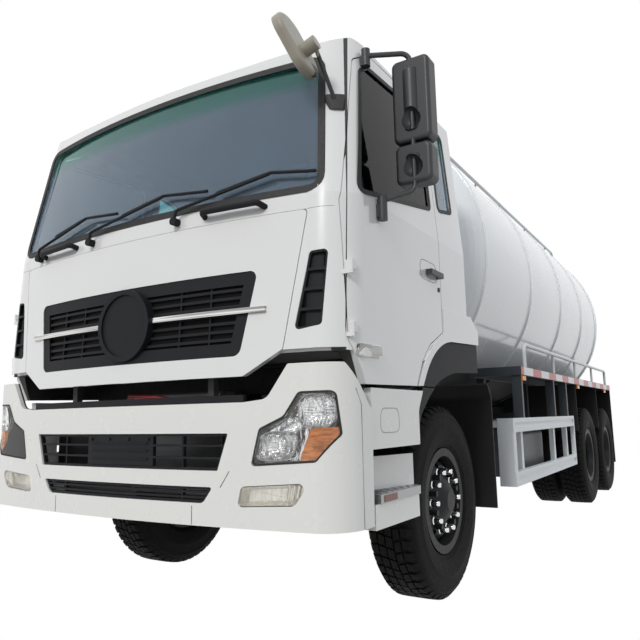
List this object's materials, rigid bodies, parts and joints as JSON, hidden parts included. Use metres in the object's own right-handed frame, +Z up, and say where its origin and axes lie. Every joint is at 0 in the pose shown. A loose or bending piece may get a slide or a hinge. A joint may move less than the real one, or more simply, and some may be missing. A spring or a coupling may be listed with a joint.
{
  "type": "sewage suction truck",
  "caption": "Three-axle forward-control lorry with a tilting cab, a round vacuum barrel, hose platforms with rails and side guards.",
  "frame": {"origin": "on the ground, under the middle of the overall length and width", "axes": "-Y is forward, +X is the truck's left side, +Z is up"},
  "size_m": [3, 8.2529, 3.648],
  "materials": {
    "body_white": "gloss",
    "bumper_white": "gloss",
    "black_plastic": "matte",
    "mirror_black": "satin",
    "kerb_beige": "satin",
    "glass": "gloss",
    "lamp_clear": "gloss",
    "bright_trim": "polished",
    "seat_cloth": "matte",
    "dash_grey": "matte",
    "tyre": "matte",
    "wheel_black": "satin",
    "chassis_black": "satin",
    "tank_white": "gloss",
    "guard_grey": "satin",
    "slate_grey": "satin",
    "rail_paint": "gloss",
    "mud_rubber": "matte",
    "tread_alu": "brushed",
    "engine_grey": "satin",
    "valve_red": "gloss"
  },
  "bodies": {
    "chassis": {"bumper": "bumper_white", "bumper_grilles": "black_plastic", "lamps": "lamp_clear", "step_boxes": "bumper_white", "step_treads": "tread_alu", "front_axle": "chassis_black", "leaf_springs": "chassis_black", "drive_line": "chassis_black", "frame_rails": "chassis_black", "cross_members": "chassis_black", "engine_block": "engine_grey", "tank_barrel": "tank_white", "manhole_neck": "tank_white", "tank_heads": "tank_white", "rear_valves": "valve_red", "tank_saddles": "chassis_black", "hose_platforms": "slate_grey", "mud_plates": "mud_rubber", "handrails": "rail_paint", "top_walkway": "tread_alu", "underrun_guards": "guard_grey", "fuel_tank": "slate_grey", "battery_box": "chassis_black", "vacuum_pump": "engine_grey"},
    "cab": {"cab_shell": "body_white", "front_panels": "body_white", "main_grille": "black_plastic", "grille_bar": "bright_trim", "cab_glass": "glass", "wipers": "black_plastic", "kerb_mirror": "kerb_beige", "cab_fenders": "body_white", "fender_lips": "black_plastic", "dashboard": "dash_grey", "seats": "seat_cloth"},
    "steering_wheel": {"steering_wheel": "dash_grey"},
    "door_left": {"door_left": "body_white", "door_glass_left": "glass", "mirror_left": "mirror_black"},
    "door_right": {"door_right": "body_white", "door_glass_right": "glass", "mirror_right": "mirror_black"},
    "wheel_front_left": {"tyre_front_left": "tyre", "rim_front_left": "wheel_black"},
    "wheel_front_right": {"tyre_front_right": "tyre", "rim_front_right": "wheel_black"},
    "wheel_mid_left": {"tyres_mid_left": "tyre", "rims_mid_left": "wheel_black"},
    "wheel_mid_right": {"tyres_mid_right": "tyre", "rims_mid_right": "wheel_black"},
    "wheel_rear_left": {"tyres_rear_left": "tyre", "rims_rear_left": "wheel_black"},
    "wheel_rear_right": {"tyres_rear_right": "tyre", "rims_rear_right": "wheel_black"},
    "knuckle_left": {"knuckle_left": "chassis_black"},
    "knuckle_right": {"knuckle_right": "chassis_black"},
    "manhole_lid": {"manhole_lid": "tank_white"},
    "rear_hatch": {"rear_hatch": "tank_white"}
  },
  "joints": [
    {"name": "cab_tilt", "type": "hinge", "parent": "chassis", "child": "cab", "pos_m": [0, -3.97, 1.1], "axis": [1, 0, 0], "range_deg": [0, 50]},
    {"name": "door_left_swing", "type": "hinge", "parent": "cab", "child": "door_left", "pos_m": [1.236, -3.903, 2], "axis": [0, 0, -1], "range_deg": [0, 70]},
    {"name": "door_right_swing", "type": "hinge", "parent": "cab", "child": "door_right", "pos_m": [-1.236, -3.903, 2], "axis": [0, 0, 1], "range_deg": [0, 70]},
    {"name": "steering_wheel_turn", "type": "hinge", "parent": "cab", "child": "steering_wheel", "pos_m": [-0.56, -3.47, 2.05], "axis": [0, 0.6, 0.8], "range_deg": [-560, 560]},
    {"name": "steer_left", "type": "hinge", "parent": "chassis", "child": "knuckle_left", "pos_m": [0.85, -2.669, 0.5425], "axis": [0, 0, 1], "range_deg": [-35, 35]},
    {"name": "steer_right", "type": "hinge", "parent": "chassis", "child": "knuckle_right", "pos_m": [-0.85, -2.669, 0.5425], "axis": [0, 0, 1], "range_deg": [-35, 35]},
    {"name": "spin_front_left", "type": "hinge", "parent": "knuckle_left", "child": "wheel_front_left", "pos_m": [1.02, -2.669, 0.5425], "axis": [1, 0, 0], "continuous": true},
    {"name": "spin_mid_left", "type": "hinge", "parent": "chassis", "child": "wheel_mid_left", "pos_m": [0.93, 1.781, 0.5425], "axis": [1, 0, 0], "continuous": true},
    {"name": "spin_rear_left", "type": "hinge", "parent": "chassis", "child": "wheel_rear_left", "pos_m": [0.93, 3.131, 0.5425], "axis": [1, 0, 0], "continuous": true},
    {"name": "spin_front_right", "type": "hinge", "parent": "knuckle_right", "child": "wheel_front_right", "pos_m": [-1.02, -2.669, 0.5425], "axis": [1, 0, 0], "continuous": true},
    {"name": "spin_mid_right", "type": "hinge", "parent": "chassis", "child": "wheel_mid_right", "pos_m": [-0.93, 1.781, 0.5425], "axis": [1, 0, 0], "continuous": true},
    {"name": "spin_rear_right", "type": "hinge", "parent": "chassis", "child": "wheel_rear_right", "pos_m": [-0.93, 3.131, 0.5425], "axis": [1, 0, 0], "continuous": true},
    {"name": "manhole_open", "type": "hinge", "parent": "chassis", "child": "manhole_lid", "pos_m": [0, -0.025, 3.574], "axis": [-1, 0, 0], "range_deg": [0, 100]},
    {"name": "hatch_open", "type": "hinge", "parent": "chassis", "child": "rear_hatch", "pos_m": [-0.395, 3.744, 2.286], "axis": [0, 0, 1], "range_deg": [0, 120]}
  ],
  "couplings": [
    {"joint": "steer_right", "follows": "steer_left", "ratio": 1},
    {"joint": "steering_wheel_turn", "follows": "steer_left", "ratio": 16}
  ]
}
